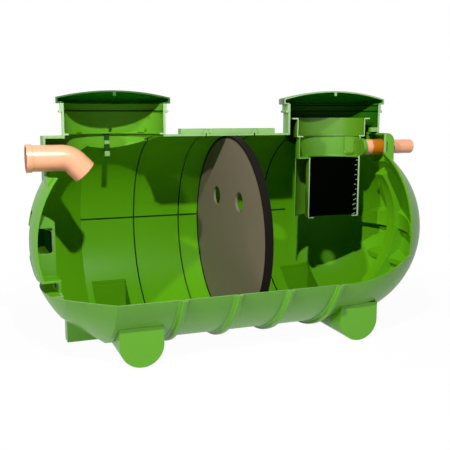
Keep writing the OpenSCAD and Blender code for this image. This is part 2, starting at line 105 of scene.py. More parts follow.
def read_section() -> Section:
    """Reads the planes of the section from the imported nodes.

    Points of a lower bay that lie more than FRONT_WALL before the main plane are
    on the lower front wall.

    Returns:
        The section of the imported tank.
    """
    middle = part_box("inlet_neck")[0][1]
    bay = [v.co for v in frame["nodes"]["bay_1_lower"].data.vertices]
    pockets = [v.co for v in frame["nodes"]["inlet_pockets"].data.vertices]
    return Section(middle=middle, strip=min(v.y for v in pockets),
                   edge=max(v.z for v in bay if v.y < middle - FRONT_WALL),
                   centre=tuple((a + b) / 2 for a, b in zip(*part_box("partition"))))


SECTION = read_section()


def linked(name: str, data: bpy.types.ID) -> Piece:
    """Sets an object in the scene.

    Args:
        name: its name.
        data: its data.

    Returns:
        The object.
    """
    made = bpy.data.objects.new(name, data)
    bpy.context.scene.collection.objects.link(made)
    return made


def from_middle(offset: Point) -> Vector:
    """Turns an offset from the middle of the barrel into a place.

    Args:
        offset: how far along, back and up the place lies.

    Returns:
        The place in the frame.
    """
    return Vector(SECTION.centre) + Vector(offset)


# -------- node trees

class Wiring:
    """A node tree with short ways to add nodes and join them."""

    def __init__(self, tree: Tree) -> None:
        """Keeps the tree to work in."""
        self.tree = tree

    def feed(self, node: bpy.types.Node, inputs: Feed) -> None:
        """Joins or sets inputs of a node.

        Args:
            node: the node.
            inputs: name or number of an input to the socket that feeds it, or to its value.
        """
        for key, value in inputs.items():
            if isinstance(value, Socket):
                self.tree.links.new(value, node.inputs[key])
            else:
                node.inputs[key].default_value = value

    def node(self, kind: str, inputs: Feed | None = None, **settings: object) -> bpy.types.Node:
        """Adds a node.

        Args:
            kind: type of the node.
            inputs: its inputs, as feed takes them.
            **settings: its settings, made before the inputs.

        Returns:
            The node.
        """
        made = self.tree.nodes.new(kind)
        for key, value in settings.items():
            setattr(made, key, value)
        self.feed(made, inputs or {})
        return made

    def math(self, operation: str, *values: object) -> Socket:
        """Adds a Math node.

        Args:
            operation: what it works out.
            *values: sockets or numbers that it takes.

        Returns:
            Its value socket.
        """
        return self.node("ShaderNodeMath", dict(enumerate(values)), operation=operation).outputs[0]

    def parts(self, vector: Socket) -> bpy.types.NodeOutputs:
        """Splits a vector.

        Args:
            vector: socket of the vector.

        Returns:
            Its X, Y and Z outputs.
        """
        return self.node("ShaderNodeSeparateXYZ", {0: vector}).outputs

    def group(self, group: Tree, inputs: Feed) -> Socket:
        """Adds a shader group.

        Args:
            group: the group's tree.
            inputs: its inputs, as feed takes them.

        Returns:
            Its one output.
        """
        return self.node("ShaderNodeGroup", inputs, node_tree=group).outputs[0]

    def mix(self, mask: Socket, under: Socket, over: Colour) -> Socket:
        """Lays a colour over another.

        Args:
            mask: socket that is 1 where the upper colour shows.
            under: socket of the lower colour.
            over: the upper colour.

        Returns:
            Socket of the result.
        """
        return self.node("ShaderNodeMix", {0: mask, 6: under, 7: (*over, 1.0)}, data_type="RGBA").outputs[2]

    def seen(self, *rays: str) -> Socket:
        """Tests what kind of ray arrives.

        Args:
            *rays: outputs of the light path that count.

        Returns:
            Socket that is 1 for those rays.
        """
        path = self.node("ShaderNodeLightPath").outputs
        found = path[rays[0]]
        for ray in rays[1:]:
            found = self.math("MAXIMUM", found, path[ray])
        return found


class Group(Wiring):
    """A node group with named inputs and one output."""

    def __init__(self, name: str, inputs: dict[str, object], output: str, result: str = "NodeSocketFloat",
                 kind: str = "ShaderNodeTree") -> None:
        """Makes the empty group.

        Args:
            name: name of the group.
            inputs: input name to its default: a number, a colour, or None for a vector.
            output: name of the output.
            result: socket type of the output.
            kind: type of the node tree.
        """
        super().__init__(bpy.data.node_groups.new(name, kind))
        panel = self.tree.interface
        for key, value in inputs.items():
            sort = "Vector" if value is None else "Color" if isinstance(value, tuple) else "Float"
            socket = panel.new_socket(key, in_out="INPUT", socket_type=f"NodeSocket{sort}")
            if value is not None:
                socket.default_value = (*value, 1.0) if sort == "Color" else value
        panel.new_socket(output, in_out="OUTPUT", socket_type=result)
        self.given = self.tree.nodes.new("NodeGroupInput").outputs
        self.end = self.tree.nodes.new("NodeGroupOutput")

    def close(self, result: Socket) -> Tree:
        """Ends the group.

        Args:
            result: socket that the output passes on.

        Returns:
            The finished tree.
        """
        self.feed(self.end, {0: result})
        return self.tree


# -------- shader groups

def mottle_group() -> Tree:
    """Makes a colour that drifts slightly over the surface, as moulded plastic does.

    Returns:
        The group.
    """
    group = Group("mottle", {"Vector": None, "Colour": (0.5, 0.5, 0.5), "Scale": 4.0, "Amount": 0.1},
                  "Colour", "NodeSocketColor")
    given = group.given
    noise = group.node("ShaderNodeTexNoise", {"Vector": given["Vector"], "Scale": given["Scale"],
                                              "Detail": 5.0, "Roughness": 0.55})
    swing = group.math("MULTIPLY", group.math("SUBTRACT", noise.outputs[0], 0.5), given["Amount"])
    factor = group.math("ADD", group.math("MULTIPLY", swing, 2.0), 1.0)
    shaded = group.node("ShaderNodeVectorMath", {0: given["Colour"], "Scale": factor}, operation="SCALE")
    return group.close(shaded.outputs[0])


def grain_group() -> Tree:
    """Makes the height of a mould face's fine grain, with a slow waviness under it.

    Returns:
        The group.
    """
    group = Group("mould grain", {"Vector": None, "Fine": 300.0, "Wave": 6.0}, "Height")
    given = group.given
    fine, wave = (group.node("ShaderNodeTexNoise", {"Vector": given["Vector"], "Scale": given[key],
                                                    "Detail": detail}).outputs[0]
                  for key, detail in (("Fine", 2.0), ("Wave", 1.0)))
    return group.close(group.math("ADD", fine, group.math("MULTIPLY", wave, 6.0)))


def cut_group() -> Tree:
    """Makes a mask of the sawn faces on the two upright planes and the level edge.

    Returns:
        The group.
    """
    group = Group("sawn face", {"Vector": None, "Normal": None, "Middle": 0.0, "Strip": 0.0, "Edge": 0.0,
                                "Slack": 0.0008, "Square": 0.97, "From": -9.0}, "Mask")
    given = group.given
    place, facing = group.parts(given["Vector"]), group.parts(given["Normal"])
    on_plane = group.math("MAXIMUM", *(group.math("COMPARE", place["Y"], given[key], given["Slack"])
                                       for key in ("Middle", "Strip")))
    to_front = group.math("LESS_THAN", facing["Y"], group.math("MULTIPLY", given["Square"], -1.0))
    on_edge = group.math("COMPARE", place["Z"], given["Edge"], given["Slack"])
    to_sky = group.math("GREATER_THAN", facing["Z"], given["Square"])
    sawn = group.math("MAXIMUM", group.math("MULTIPLY", on_plane, to_front), group.math("MULTIPLY", on_edge, to_sky))
    beyond = group.math("GREATER_THAN", place["X"], given["From"])
    return group.close(group.math("MULTIPLY", beyond, sawn))


def slit_group() -> Tree:
    """Makes a mask of a narrow slit in a rib's inner side, where shade is painted.

    Returns:
        The group.
    """
    group = Group("rib slit", {"Vector": None, "Side": 1.0, "At": 0.0, "Half": 0.005}, "Mask")
    given = group.given
    near = group.math("COMPARE", group.parts(given["Vector"])["X"], given["At"], given["Half"])
    return group.close(group.math("MULTIPLY", near, given["Side"]))


def painted_shadow_group() -> Tree:
    """Makes a mask of a length along X that starts at a scalloped border, where a shadow is painted.

    Returns:
        The group.
    """
    group = Group("stain", {"Vector": None, "Start": 0.0, "End": 1.0, "Scallop": 30.0, "Depth": 0.02,
                            "Blend": 0.006}, "Mask")
    given = group.given
    along = group.parts(given["Vector"])["X"]
    cells = group.node("ShaderNodeTexVoronoi", {"Vector": given["Vector"], "Scale": given["Scallop"]})
    edge = group.math("ADD", given["Start"], group.math("MULTIPLY", cells.outputs["Distance"], given["Depth"]))
    rise = group.node("ShaderNodeMapRange", {"Value": along, "From Min": edge,
                                             "From Max": group.math("ADD", edge, given["Blend"])},
                      interpolation_type="SMOOTHSTEP")
    return group.close(group.math("MULTIPLY", rise.outputs[0], group.math("LESS_THAN", along, given["End"])))


def inside_group() -> Tree:
    """Makes a mask of the faces that look towards a centre, as a shell's inner sides do; painted light and shade and a
    lower specular go on them.

    Returns:
        The group.
    """
    group = Group("inner side", {"Vector": None, "Normal": None, "Centre": None, "Slack": 0.02}, "Mask")
    given = group.given
    inward = group.node("ShaderNodeVectorMath", {0: given["Centre"], 1: given["Vector"]}, operation="SUBTRACT")
    facing = group.node("ShaderNodeVectorMath", {0: inward.outputs[0], 1: given["Normal"]}, operation="DOT_PRODUCT")
    return group.close(group.math("GREATER_THAN", facing.outputs["Value"], given["Slack"]))


MOTTLE = mottle_group()
GRAIN = grain_group()
CUT = cut_group()
INSIDE = inside_group()
SLIT = slit_group()
PAINTED_SHADOW = painted_shadow_group()


# -------- finishes

@dataclass(frozen=True)
class Finish:
    """A procedural finish. Colours are linear.

    Attributes:
        name: name of the material.
        slot: its record slot.
        colour: base colour.
        sawn: colour of sawn faces, if any.
        rough: roughness.
        drift: how far the colour drifts.
        drift_scale: patches for each metre.
        grain: depth of the grain.
        fine: grains for each metre.
        round_edge: radius that edges are shaded with.
        specular: specular level.
        inner_specular: that of the inner sides, if it differs.
        inner: colour painted on the inner sides, if it differs, as the light and shade that fall there.
        centre: what the inner sides look at, if not the middle of the barrel.
        sawn_from: x from which sawn faces show.
        slit: x of a rib's slit, which alone then takes the inner colour, as painted shade.
        stain: colour of a shadow painted along a length, if any.
        shadowed_span: x where that painted shadow starts and ends.
    """

    name: str
    slot: Slot
    colour: Colour
    sawn: Colour | None = None
    rough: float = 0.42
    drift: float = 0.06
    drift_scale: float = 3.0
    grain: float = 0.0004
    fine: float = 420.0
    round_edge: float = 0.003
    specular: float = 0.5
    inner_specular: float | None = None
    inner: Colour | None = None
    centre: Point | None = None
    sawn_from: float = -9.0
    slit: float | None = None
    stain: Colour | None = None
    shadowed_span: Pair = (0.0, 1.0)

    def layers(self, tree: Wiring, where: Feed, inside: Socket) -> list[tuple[Socket, Colour]]:
        """Lists what lies over the base colour, from the lowest up.

        Args:
            tree: the material's tree.
            where: sockets of the place on the object and of its normal.
            inside: mask of the inner sides.

        Returns:
            Mask and colour of each layer.
        """
        made, place = [], {"Vector": where["Vector"]}
        # the inner colour is painted light and shade on the inner sides, kept to a rib's slit where one is given
        if self.inner is not None:
            slit = {} if self.slit is None else {**place, "Side": inside, "At": self.slit}
            made.append((tree.group(SLIT, slit) if slit else inside, self.inner))
        # a painted shadow with a scalloped border along a length of X
        if self.stain is not None:
            start, end = self.shadowed_span
            made.append((tree.group(PAINTED_SHADOW, {**place, "Start": start, "End": end}), self.stain))
        if self.sawn is not None:
            planes = {"Middle": SECTION.middle, "Strip": SECTION.strip, "Edge": SECTION.edge, "From": self.sawn_from}
            made.append((tree.group(CUT, {**where, **planes}), self.sawn))
        return made

    @cache
    def material(self) -> Material:
        """Builds the node material, once.

        Returns:
            The material.
        """
        made = bpy.data.materials.new(self.name)
        made.use_nodes = True
        tree = Wiring(made.node_tree)
        given = tree.node("ShaderNodeTexCoord").outputs
        where = {"Vector": given["Object"], "Normal": given["Normal"]}
        inside = tree.group(INSIDE, {**where, "Centre": self.centre or SECTION.centre})
        colour = tree.group(MOTTLE, {"Vector": given["Object"], "Colour": (*self.colour, 1.0),
                                     "Scale": self.drift_scale, "Amount": self.drift})
        for mask, over in self.layers(tree, where, inside):
            colour = tree.mix(mask, colour, over)
        grain = tree.group(GRAIN, {"Vector": given["Object"], "Fine": self.fine})
        edge = tree.node("ShaderNodeBevel", {"Radius": self.round_edge}, samples=6)
        bump = tree.node("ShaderNodeBump", {"Height": grain, "Normal": edge.outputs["Normal"], "Strength": 0.5,
                                            "Distance": self.grain})
        shader = made.node_tree.nodes["Principled BSDF"]
        tree.feed(shader, {"Base Color": colour, "Roughness": self.rough, "Specular IOR Level": self.specular,
                           "Normal": bump.outputs["Normal"]})
        if self.inner_specular is not None:
            dull = tree.node("ShaderNodeMix", {0: inside, 2: self.specular, 3: self.inner_specular})
            tree.feed(shader, {"Specular IOR Level": dull.outputs[0]})
        return made


# -------- repeated pieces

class Maker(Group):
    """A geometry node group that repeats a bead in an upright column."""

    def __init__(self, name: str, **inputs: float) -> None:
        """Makes the empty group.

        Args:
            name: name of the group.
            **inputs: its own inputs besides the shared ones, with their defaults.
        """
        shared = {"Bead": 0.003, "X": 0.0, "Y": 0.0, "Z": 0.0, "Count": 1.0, "Pitch": 0.04}
        super().__init__(name, {**shared, **inputs}, "Geometry", "NodeSocketGeometry", "GeometryNodeTree")

    def bead(self, curve: Socket, sides: int) -> Socket:
        """Sweeps a round bead with closed ends along a curve.

        Args:
            curve: socket of the curve.
            sides: sides of the bead.

        Returns:
            Socket of the bead.
        """
        profile = self.node("GeometryNodeCurvePrimitiveCircle", {"Resolution": sides, "Radius": self.given["Bead"]})
        return self.node("GeometryNodeCurveToMesh", {"Curve": curve, "Profile Curve": profile.outputs["Curve"],
                                                     "Fill Caps": True}).outputs[0]

    def column(self) -> Socket:
        """Sets points one above the other.

        Returns:
            Socket of the points.
        """
        first = self.node("ShaderNodeCombineXYZ", {key: self.given[key] for key in ("X", "Y", "Z")})
        step = self.node("ShaderNodeCombineXYZ", {"Z": self.given["Pitch"]})
        return self.node("GeometryNodeMeshLine", {"Count": self.given["Count"], "Start Location": first.outputs[0],
                                                  "Offset": step.outputs[0]}).outputs[0]

    def copies(self, points: Socket, shape: Socket, finish: Finish) -> Tree:
        """Ends the group with real copies of a shape.

        Args:
            points: socket of the points that carry the copies.
            shape: socket of the shape.
            finish: finish of the copies.

        Returns:
            The finished tree.
        """
        made = self.node("GeometryNodeInstanceOnPoints", {"Points": points, "Instance": shape})
        real = self.node("GeometryNodeRealizeInstances", {0: made.outputs[0]})
        paint = self.node("GeometryNodeSetMaterial", {0: real.outputs[0], "Material": finish.material()})
        return self.close(paint.outputs[0])


def half_ring_tree(finish: Finish) -> Tree:
    """Makes half rings behind the section, one above the other.

    Args:
        finish: finish of the rings.

    Returns:
        The geometry tree.
    """
    maker = Maker("half rings", Radius=0.3)
    arc = maker.node("GeometryNodeCurveArc", {"Resolution": 72, "Radius": maker.given["Radius"],
                                              "Sweep Angle": math.pi})
    return maker.copies(maker.column(), maker.bead(arc.outputs["Curve"], 10), finish)


def perforation_tree(finish: Finish) -> Tree:
    """Makes the hooked lips of perforations in a column, every second one set aside; their pale finish paints the light
    that shows through the holes.

    Args:
        finish: finish of the lips.

    Returns:
        The geometry tree.
    """
    maker = Maker("perforations", Lip=0.0072, Aside=0.008)
    arc = maker.node("GeometryNodeCurveArc", {"Resolution": 9, "Start Angle": math.radians(15),
                                              "Sweep Angle": math.radians(150), "Radius": maker.given["Lip"]})
    stand = maker.node("GeometryNodeTransform", {"Geometry": arc.outputs["Curve"],
                                                 "Rotation": (math.radians(90), 0.0, 0.0)})
    odd = maker.math("MODULO", maker.node("GeometryNodeInputIndex").outputs[0], 2.0)
    shift = maker.node("ShaderNodeCombineXYZ", {"X": maker.math("MULTIPLY", odd, maker.given["Aside"])})
    moved = maker.node("GeometryNodeSetPosition", {"Geometry": maker.column(), "Offset": shift.outputs[0]})
    return maker.copies(moved.outputs[0], maker.bead(stand.outputs[0], 6), finish)


# -------- pieces

@dataclass(frozen=True)
class Bend:
    """A plate bent to the inner side of an upright bore.

    Attributes:
        depth: how far its outer and its inner side lie within the bore.
        span: angles in degrees that it covers.
        rise: heights that it covers.
    """

    depth: Pair
    span: Pair
    rise: Pair


def turns(whole: float, steps: int) -> list[float]:
    """Divides an angle.

    Args:
        whole: the angle.
        steps: number of parts.

    Returns:
        The angles from 0 up to it.
    """
    return [whole * k / steps for k in range(steps + 1)]


def dress(finish: Finish, *nodes: str) -> None:
    """Gives CAD nodes their finish.

    Args:
        finish: the finish.
        *nodes: names of the nodes.
    """
    for node in nodes:
        slots = frame["nodes"][node].data.materials
        if not slots:
            slots.append(None)
        for i in range(len(slots)):
            slots[i] = finish.material()


def finished(name: str, finish: Finish, mesh: bpy.types.Mesh) -> Piece:
    """Sets a finished mesh in the scene.

    Args:
        name: name of the piece.
        finish: its finish.
        mesh: its mesh.

    Returns:
        The piece, riding on the tank.
    """
    mesh.name = name
    mesh.materials.clear()
    mesh.materials.append(finish.material())
    made = linked(name, mesh)
    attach(made, "root")
    log.info("%s: %d faces", name, len(mesh.polygons))
    return made


def settled(carrier: Piece) -> bpy.types.Mesh:
    """Keeps the mesh that an object's modifier makes and removes the object.

    Args:
        carrier: the object.

    Returns:
        The mesh.
    """
    mesh = bpy.data.meshes.new_from_object(carrier.evaluated_get(bpy.context.evaluated_depsgraph_get()))
    bpy.data.objects.remove(carrier)
    return mesh


def bake(name: str, finish: Finish, tree: Tree, values: dict[str, float]) -> None:
    """Runs a geometry tree with its own values and keeps the result as a plain piece.

    Args:
        name: name of the piece.
        finish: its finish.
        tree: the geometry tree.
        values: values of its named inputs.
    """
    carrier = linked(name + "_seed", bpy.data.meshes.new(name + "_seed"))
    modifier = carrier.modifiers.new("build", "NODES")
    modifier.node_group = tree
    for item in tree.interface.items_tree:
        if item.in_out == "INPUT" and item.name in values:
            modifier[item.identifier] = float(values[item.name])
    finished(name, finish, settled(carrier))


def plain_piece(name: str, finish: Finish, verts: list[Point], faces: list[Face], soften: float = 0.0) -> Piece:
    """Makes a piece from points and faces.

    Args:
        name: name of the piece.
        finish: its finish.
        verts: its points.
        faces: its faces by point number.
        soften: width of the bevel on its edges, 0 for none.

    Returns:
        The piece, riding on the tank.
    """
    shape = bmesh.new()
    points = [shape.verts.new(v) for v in verts]
    for face in faces:
        shape.faces.new([points[i] for i in face])
    bmesh.ops.recalc_face_normals(shape, faces=shape.faces)
    if soften:
        bmesh.ops.bevel(shape, geom=shape.edges[:], offset=soften, segments=2, affect="EDGES", clamp_overlap=True)
    mesh = bpy.data.meshes.new(name)
    shape.to_mesh(mesh)
    shape.free()
    return finished(name, finish, mesh)


def prism(name: str, finish: Finish, outline: list[Vector], rise: Vector, soften: float = 0.0) -> None:
    """Makes a prism.

    Args:
        name: name of the piece.
        finish: its finish.
        outline: points of its first end.
        rise: how far the other end lies from it.
        soften: width of the bevel on its edges, 0 for none.
    """
    n = len(outline)
    verts = [tuple(point + lift) for lift in (Vector(), rise) for point in outline]
    faces = [tuple(range(n)), tuple(range(n, 2 * n))] + [(k, (k + 1) % n, n + (k + 1) % n, n + k) for k in range(n)]
    plain_piece(name, finish, verts, faces, soften)


def strip(name: str, finish: Finish, node: str, along: Pair, before: Pair, down: Pair, soften: float) -> None:
    """Lays a small block before the front face of a node.

    Args:
        name: name of the piece.
        finish: its finish.
        node: name of the node.
        along: its start and end, from the node's low x.
        before: how far its front and its back stand before the node.
        down: its foot and head, down from the node's top.
        soften: width of the bevel on its edges.
    """
    low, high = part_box(node)
    (x, y, z), (far, back, head) = ((low[0] + a, low[1] - b, high[2] - d) for a, b, d in zip(along, before, down))
    foot = [Vector(corner) for corner in ((x, y, z), (far, y, z), (far, back, z), (x, back, z))]
    prism(name, finish, foot, Vector((0.0, 0.0, head - z)), soften)


def sweep(name: str, finish: Finish, path: list[Vector], radius: float, sides: int = 10) -> None:
    """Makes a round bead along a path with closed ends.

    Args:
        name: name of the piece.
        finish: its finish.
        path: points that the bead follows.
        radius: radius of the bead.
        sides: sides of the bead.
    """
    verts: list[Point] = []
    side = Vector((0, 0, 1))
    for i, point in enumerate(path):
        along = (path[min(i + 1, len(path) - 1)] - path[max(i - 1, 0)]).normalized()
        side = side - along * side.dot(along)
        if side.length < 1e-6:
            side = along.orthogonal()
        side.normalize()
        up = along.cross(side)
        verts += [tuple(point + (side * math.cos(turn) + up * math.sin(turn)) * radius)
                  for turn in turns(math.tau, sides)[:-1]]
    starts = [(i * sides + k, i * sides + (k + 1) % sides) for i in range(len(path) - 1) for k in range(sides)]
    faces: list[Face] = [(a, b, b + sides, a + sides) for a, b in starts]
    faces += [tuple(range(sides)), tuple(reversed(range(len(verts) - sides, len(verts))))]
    plain_piece(name, finish, verts, faces)


def bent_plate(name: str, finish: Finish, axis: Vector, bore: float, bend: Bend, steps: int = 14) -> None:
    """Makes a plate bent to the inner side of an upright bore.

    Args:
        name: name of the piece.
        finish: its finish.
        axis: place on the bore's axis that heights are measured from.
        bore: radius of the bore.
        bend: where the plate lies in it.
        steps: flats that it is made of.
    """
    first, last = bend.span
    angles = [math.radians(first + part) for part in turns(last - first, steps)]
    verts = [(axis.x + (bore - depth) * math.cos(turn), axis.y + (bore - depth) * math.sin(turn), axis.z + z)
             for depth in bend.depth for z in bend.rise for turn in angles]
    n = steps + 1
    faces: list[Face] = []
    for k in range(steps):
        faces += [(k, k + 1, n + k + 1, n + k), (2 * n + k, 3 * n + k, 3 * n + k + 1, 2 * n + k + 1),
                  (k, 2 * n + k, 2 * n + k + 1, k + 1), (n + k, n + k + 1, 3 * n + k + 1, 3 * n + k)]
    faces += [(0, n, 3 * n, 2 * n), (steps, 2 * n + steps, 3 * n + steps, n + steps)]
    plain_piece(name, finish, verts, faces)


def carved(name: str, finish: Finish, node: str, low: Point, high: Point) -> None:
    """Puts a copy of a CAD node in its place, with a box cut out of it.

    Args:
        name: name of the piece.
        finish: its finish.
        node: name of the node.
        low: lowest corner of the box.
        high: highest corner of the box.
    """
    size, middle = Vector(high) - Vector(low), (Vector(high) + Vector(low)) / 2
    shape = bmesh.new()
    bmesh.ops.create_cube(shape, size=1.0, matrix=Matrix.Translation(middle) @ Matrix.Diagonal((*size, 1.0)))
    box = bpy.data.meshes.new("cutter")
    shape.to_mesh(box)
    shape.free()
    cutter, carrier = linked("cutter", box), linked("whole", frame["nodes"][node].data.copy())
    cut = carrier.modifiers.new("cut", "BOOLEAN")
    cut.object, cut.operation, cut.solver = cutter, "DIFFERENCE", "EXACT"
    mesh = settled(carrier)
    bpy.data.objects.remove(cutter)
    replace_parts(finished(name, finish, mesh), node)


# -------- the tank

WALL = 0.014
SHELL_GREEN: Colour = (0.085, 0.30, 0.003)
# near-black green painted where only shade is: in a slot, along a gap and in a recess
PAINTED_SHADE_GREEN: Colour = (0.003, 0.03, 0.001)


@dataclass
class Barrel:
    """The ribbed barrel with its ends, feet, keels and pipe blocks.

    Attributes:
        finish: finish of the moulding.
        groove_shade: near-black colour painted in the ribs' slits and on the seam strips, as the shade in those
            grooves.
        apart: shell nodes that the turrets and the strap dress.
        bays: how many bays there are.
        seam_high: height of a seam.
        seam_face: share of it that the seam's face keeps.
        seam_proud: how far it stands off the wall.
        seam_gap: gap behind it.
        seam_lap: how far it runs on over a rib.
        seam_stop: gap before the partition's seal.
    """

    finish: Finish = Finish("moulded green", Slot.SHELL, SHELL_GREEN, sawn=(0.19, 0.36, 0.11), rough=0.4,
                            inner_specular=0.12)
    groove_shade: Colour = (0.004, 0.035, 0.001)
    apart: tuple[str, ...] = ("inlet_neck", "outlet_neck", "neck_strap")
    bays: int = 5
    seam_high: float = 0.0105
    seam_face: float = 0.82
    seam_proud: float = 0.0022
    seam_gap: float = 0.0001
    seam_lap: float = 0.0152
    seam_stop: float = 0.002

    def seams(self) -> None:
        """Lays a dark strip along the inner wall, bay by bay, where upper and lower halves meet, as painted shade in
        the welded seam's groove.
        """
        dark = Finish("seam shade green", Slot.SHELL, self.groove_shade, rough=0.7, specular=0.1)
        seal_low, seal_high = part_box("partition_seal")
        for bay in range(1, self.bays + 1):
            low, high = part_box(f"bay_{bay}_lower")
            start = low[0] - (self.seam_lap if bay > 1 else 0.0)
            end = high[0] + (self.seam_lap if bay < self.bays else 0.0)
            spans = [(start, end)]
            if start < seal_low[0] < end:
                spans = [(start, seal_low[0] - self.seam_stop), (seal_high[0] + self.seam_stop, end)]
            for part, span in enumerate(spans):
                self.seam(f"seam_{bay}_{part}", dark, span)

    def seam(self, name: str, finish: Finish, span: Pair) -> None:
        """Lays one length of the seam.

        Args:
            name: name of the piece.
            finish: its finish.
            span: x that it starts and ends at.
        """
        _, across, up = SECTION.centre
        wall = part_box("bay_3_lower")[1]
        level, back = wall[2] - up, wall[1] - across - WALL - self.seam_gap
        verts = []
        for x in span:
            for half in (-self.seam_high / 2, self.seam_high / 2):
                for r, share in ((back, 1.0), (back - self.seam_proud, self.seam_face)):
                    z = level + half * share
                    verts.append((x, across + math.sqrt(r * r - z * z), up + z))
        faces = [(0, 2, 3, 1), (4, 5, 7, 6), (0, 1, 5, 4), (2, 6, 7, 3), (1, 3, 7, 5), (0, 4, 6, 2)]
        plain_piece(name, finish, verts, faces)

    def build(self) -> None:
        """Dresses every node of the barrel, with shade painted dark in the slit of each rib, and lays the seam strips
        of painted shade.
        """
        for entry in frame["record"]["subparts"]:
            node, finish = entry["node"], self.finish
            if entry["material_slot"] != Slot.SHELL.value or node in self.apart:
                continue
            if node.startswith("ring"):
                low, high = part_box(node)
                # the rib's slit takes the groove colour as painted shade
                finish = replace(finish, name=node, inner=self.groove_shade, slit=(low[0] + high[0]) / 2)
            dress(finish, node)
        self.seams()


@dataclass
class Turret:
    """A neck with its collar and lid.

    Attributes:
        side: inlet or outlet.
        lid: finish of its lid.
        inner: colour painted on its inner side, as the light that falls there at the inlet and the shade at the outlet.
        seals: how many dark rings show in its collar; the lowest is a seal, and a second one is painted shade under the
            lid's seat.
        neck: finish of its neck and collar.
        rubber: finish of its seals.
        seal_bead: radius of a seal.
        seal_gap: gap between seal and wall.
        seal_back: how far the seals' ends lie behind the section.
        seal_rise: height of the lowest seal in the collar.
        seal_pitch: height from one seal to the next.
    """

    side: str
    lid: Finish
    inner: Colour
    seals: int = 1
    neck: Finish = Finish("turret green", Slot.SHELL, SHELL_GREEN, sawn=(0.26, 0.39, 0.20), rough=0.4,
                          inner_specular=0.06)
    rubber: Finish = Finish("seal black green", Slot.SEAL, (0.003, 0.02, 0.002), rough=0.7, specular=0.1)
    seal_bead: float = 0.0034
    seal_gap: float = 0.0004
    seal_back: float = 0.0002
    seal_rise: float = 0.012
    seal_pitch: float = 0.041

    def build(self) -> None:
        """Dresses the neck, collar and lid and lays the dark rings inside the collar: a seal, and at the outlet a
        second ring of painted shade under the lid's seat.
        """
        low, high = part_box(f"{self.side}_neck")
        foot = ((low[0] + high[0]) / 2, low[1], low[2])
        # the inner colour is painted on the turret's inner side: light at the inlet, shade at the outlet
        green = replace(self.neck, name=f"{self.side} turret", inner=self.inner, centre=foot)
        dress(green, f"{self.side}_neck", f"{self.side}_collar")
        dress(replace(self.lid, centre=foot), f"{self.side}_lid")
        bore = (high[0] - low[0]) / 2 - WALL
        bake(f"{self.side}_turret_seals", self.rubber, half_ring_tree(self.rubber), {
            "Radius": bore - self.seal_bead - self.seal_gap, "Bead": self.seal_bead, "X": foot[0],
            "Y": SECTION.centre[1] + self.seal_back, "Z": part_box(f"{self.side}_collar")[0][2] + self.seal_rise,
            "Count": self.seals, "Pitch": self.seal_pitch})


@dataclass
class Strap:
    """The strap at the foot of the inlet neck, painted dark as shade, with its two clips painted pale as lit.

    Attributes:
        dark: finish of the strap, dark as painted shade.
        pale: finish of the clips, pale as painted light.
        clips: foot and head of each clip, down from the strap's top.
        wider: how far a clip stands out at each side.
        before: how far its front and its back stand before the strap.
        soften: bevel on its edges.
    """

    dark: Finish = Finish("strap shade green", Slot.SHELL, (0.006, 0.05, 0.001), rough=0.6, specular=0.1)
    pale: Finish = Finish("clip lit green", Slot.SHELL, (0.16, 0.36, 0.07), rough=0.45)
    clips: tuple[Pair, ...] = ((0.072, 0.045), (0.152, 0.116))
    wider: float = 0.001
    before: Pair = (0.006, 0.0002)
    soften: float = 0.002

    def build(self) -> None:
        """Dresses the strap in painted shade and adds the clips in painted light."""
        dress(self.dark, "neck_strap")
        low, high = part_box("neck_strap")
        along = (-self.wider, high[0] - low[0] + self.wider)
        for number, down in enumerate(self.clips, start=1):
            strip(f"strap_clip_{number}", self.pale, "neck_strap", along, self.before, down, self.soften)


@dataclass
class Pipework:
    """The orange pipes at both ends.

    Attributes:
        finish: finish of the pipes.
        shade: colour of the shadow painted on the outlet pipe's length near the block.
        shadow_reach: how far the painted shadow reaches before and behind the outlet block's face.
        spigot_gap: how much later the outlet pipe starts, to clear the plate in the spigot's mouth.
    """

    finish: Finish = Finish("orange pipe", Slot.PIPE, (0.74, 0.34, 0.19), rough=0.3, drift=0.03, grain=0.0001)
    shade: Colour = (0.43, 0.13, 0.006)
    shadow_reach: Pair = (0.052, 0.06)
    spigot_gap: float = 0.010

    def build(self) -> None:
        """Dresses the inlet pipe and elbow, and puts a shorter outlet pipe, with a painted shadow near the block, in
        place of its node.
        """
        dress(self.finish, "inlet_pipe", "inlet_elbow")
        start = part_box("outlet_pipe")[0][0] + self.spigot_gap
        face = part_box("outlet_block")[0][0]
        shadowed_span = (face - self.shadow_reach[0], face + self.shadow_reach[1])
        # the outlet pipe's length by the block takes a painted shadow
        shadowed_pipe = replace(self.finish, name="orange pipe with painted shadow", stain=self.shade, shadowed_span=shadowed_span)
        source = frame["nodes"]["outlet_pipe"].data
        verts = [(max(v.co.x, start), v.co.y, v.co.z) for v in source.vertices]
        pipe = plain_piece("outlet_pipe_run", shadowed_pipe, verts, [tuple(p.vertices) for p in source.polygons])
        for polygon in pipe.data.polygons:
            polygon.use_smooth = source.polygons[polygon.index].use_smooth
        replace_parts(pipe, "outlet_pipe")


